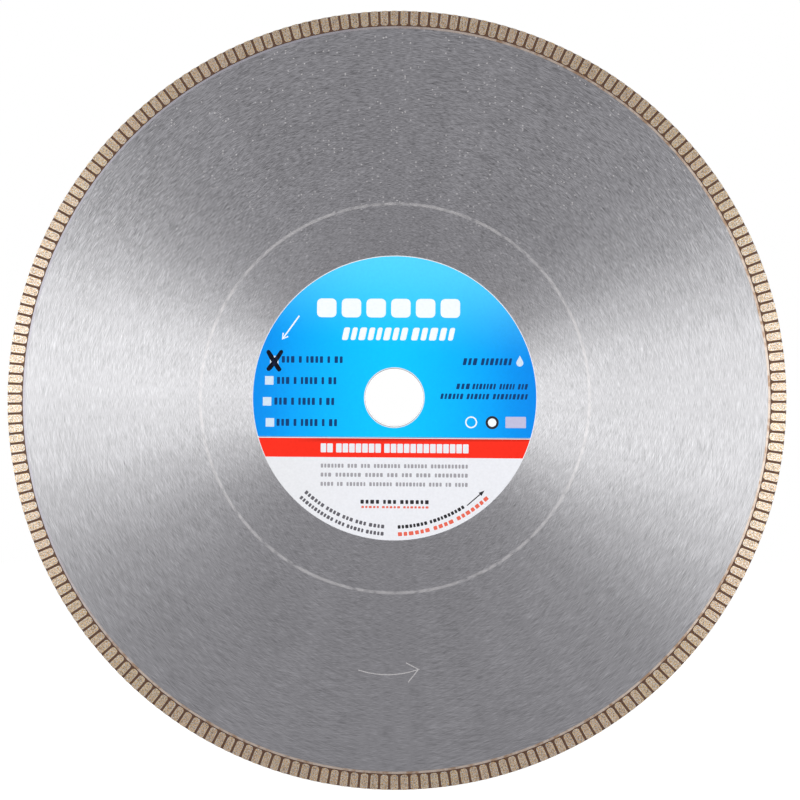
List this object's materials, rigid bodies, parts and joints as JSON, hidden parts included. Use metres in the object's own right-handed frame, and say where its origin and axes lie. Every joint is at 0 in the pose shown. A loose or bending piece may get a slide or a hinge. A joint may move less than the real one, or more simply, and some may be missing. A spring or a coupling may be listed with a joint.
{
  "type": "lapidary diamond saw blade",
  "caption": "Thin round steel blade with a notched diamond rim for wet cutting stone on a lapidary slab saw, with a plain arbor bore and a round centre label.",
  "frame": {"origin": "centre of the arbor bore, half way through the steel core", "axes": "the blade stands upright and spins about Y; the label side faces -Y and +Z is the top of the label"},
  "size_m": [0.3556, 0.0016, 0.3556],
  "materials": {
    "steel_core": "ground flat with a fine circular grain",
    "rim_backing_ring": "dull, as sintered",
    "diamond_rim": "granular sintered bronze with exposed grit",
    "label_adhesive": "tacky film",
    "label_sheet": "smooth coated white",
    "label_blue_ink": "satin printed ink",
    "label_red_ink": "satin printed ink"
  },
  "bodies": {
    "root": {"steel_core": "steel_core", "rim_backing_ring": "rim_backing_ring", "diamond_rim": "diamond_rim", "label_adhesive": "label_adhesive", "label_sheet": "label_sheet", "label_blue_ink": "label_blue_ink", "label_red_ink": "label_red_ink"}
  },
  "joints": []
}
